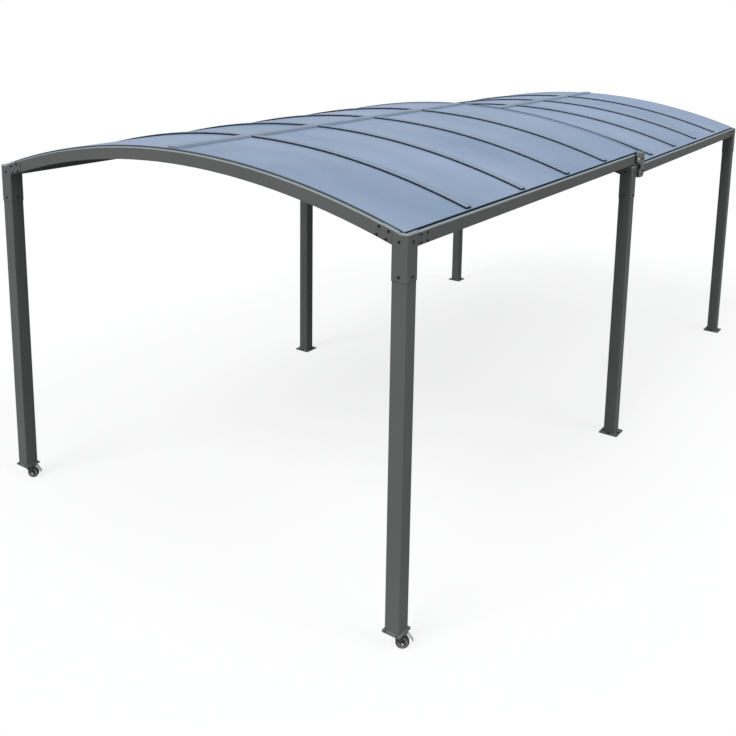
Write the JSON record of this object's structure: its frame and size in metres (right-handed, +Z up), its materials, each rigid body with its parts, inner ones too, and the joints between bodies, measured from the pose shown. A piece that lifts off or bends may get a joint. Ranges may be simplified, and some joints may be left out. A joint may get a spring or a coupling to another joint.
{
  "type": "telescopic arched-roof gazebo",
  "caption": "Open gazebo on square posts whose arched sheet roof is in two sections; the higher front section rolls back on casters over the lower rear section.",
  "frame": {"origin": "centre of the footprint, on the floor", "axes": "+Z up, +Y from the front section towards the rear section, +X to the right seen from the front"},
  "size_m": [2.9007, 5.621, 2.243],
  "materials": {
    "frame_paint": "fine-textured dark grey powder coat",
    "roof_sheet": "glossy blue-grey tinted polycarbonate",
    "roof_trim": "satin blue-grey powder coat",
    "bracket_metal": "satin grey coating",
    "caster_steel": "dark zinc-plated pressed steel",
    "pedal_metal": "grey moulded pedal",
    "hub_plastic": "dark grey moulded hub",
    "tyre_rubber": "black rubber tread",
    "nylon": "off-white nylon",
    "fastener_black": "black-coated bolts and screws",
    "seal_rubber": "dark rubber sealing strip"
  },
  "bodies": {
    "rear_section": {"middle_left_post": "frame_paint", "middle_right_post": "frame_paint", "back_left_post": "frame_paint", "back_right_post": "frame_paint", "base_plates": "frame_paint", "rear_corner_brackets": "frame_paint", "rear_left_beam": "frame_paint", "rear_right_beam": "frame_paint", "middle_arch": "frame_paint", "back_arch": "frame_paint", "rear_ribs": "frame_paint", "rear_rib_covers": "roof_trim", "rear_ridge_bar": "frame_paint", "rear_ridge_cap": "roof_trim", "rear_left_sheets": "roof_sheet", "rear_right_sheets": "roof_sheet"},
    "front_section": {"front_left_post": "frame_paint", "front_right_post": "frame_paint", "front_foot_plates": "frame_paint", "front_corner_brackets": "frame_paint", "front_left_beam": "frame_paint", "front_right_beam": "frame_paint", "front_arch": "frame_paint", "lap_arch": "frame_paint", "front_ribs": "frame_paint", "front_rib_covers": "roof_trim", "front_ridge_bar": "frame_paint", "front_ridge_cap": "roof_trim", "front_left_sheets": "roof_sheet", "front_right_sheets": "roof_sheet", "left_carriage": "bracket_metal", "right_carriage": "bracket_metal", "carriage_glides": "nylon"},
    "left_caster": {"left_caster_fork": "caster_steel"},
    "left_wheel": {"left_caster_tyre": "tyre_rubber", "left_caster_hub": "hub_plastic"},
    "left_pedal": {"left_brake_pedal": "pedal_metal"},
    "right_caster": {"right_caster_fork": "caster_steel"},
    "right_wheel": {"right_caster_tyre": "tyre_rubber", "right_caster_hub": "hub_plastic"},
    "right_pedal": {"right_brake_pedal": "pedal_metal"}
  },
  "joints": [
    {"name": "section_slide", "type": "slide", "parent": "rear_section", "child": "front_section", "axis": [0, 1, 0], "range_m": [0, 2.45]},
    {"name": "left_caster_swivel", "type": "hinge", "parent": "front_section", "child": "left_caster", "pos_m": [-1.38, -2.7605, 0.09], "axis": [0, 0, 1], "continuous": true},
    {"name": "left_wheel_spin", "type": "hinge", "parent": "left_caster", "child": "left_wheel", "pos_m": [-1.35513, -2.74372, 0.033], "axis": [-0.5592, 0.829, 0], "continuous": true},
    {"name": "left_brake_lift", "type": "hinge", "parent": "left_caster", "child": "left_pedal", "pos_m": [-1.34684, -2.73813, 0.074], "axis": [0.5592, -0.829, 0], "range_deg": [0, 18]},
    {"name": "right_caster_swivel", "type": "hinge", "parent": "front_section", "child": "right_caster", "pos_m": [1.38, -2.7605, 0.09], "axis": [0, 0, 1], "continuous": true},
    {"name": "right_wheel_spin", "type": "hinge", "parent": "right_caster", "child": "right_wheel", "pos_m": [1.40487, -2.74372, 0.033], "axis": [-0.5592, 0.829, 0], "continuous": true},
    {"name": "right_brake_lift", "type": "hinge", "parent": "right_caster", "child": "right_pedal", "pos_m": [1.41316, -2.73813, 0.074], "axis": [0.5592, -0.829, 0], "range_deg": [0, 18]}
  ]
}
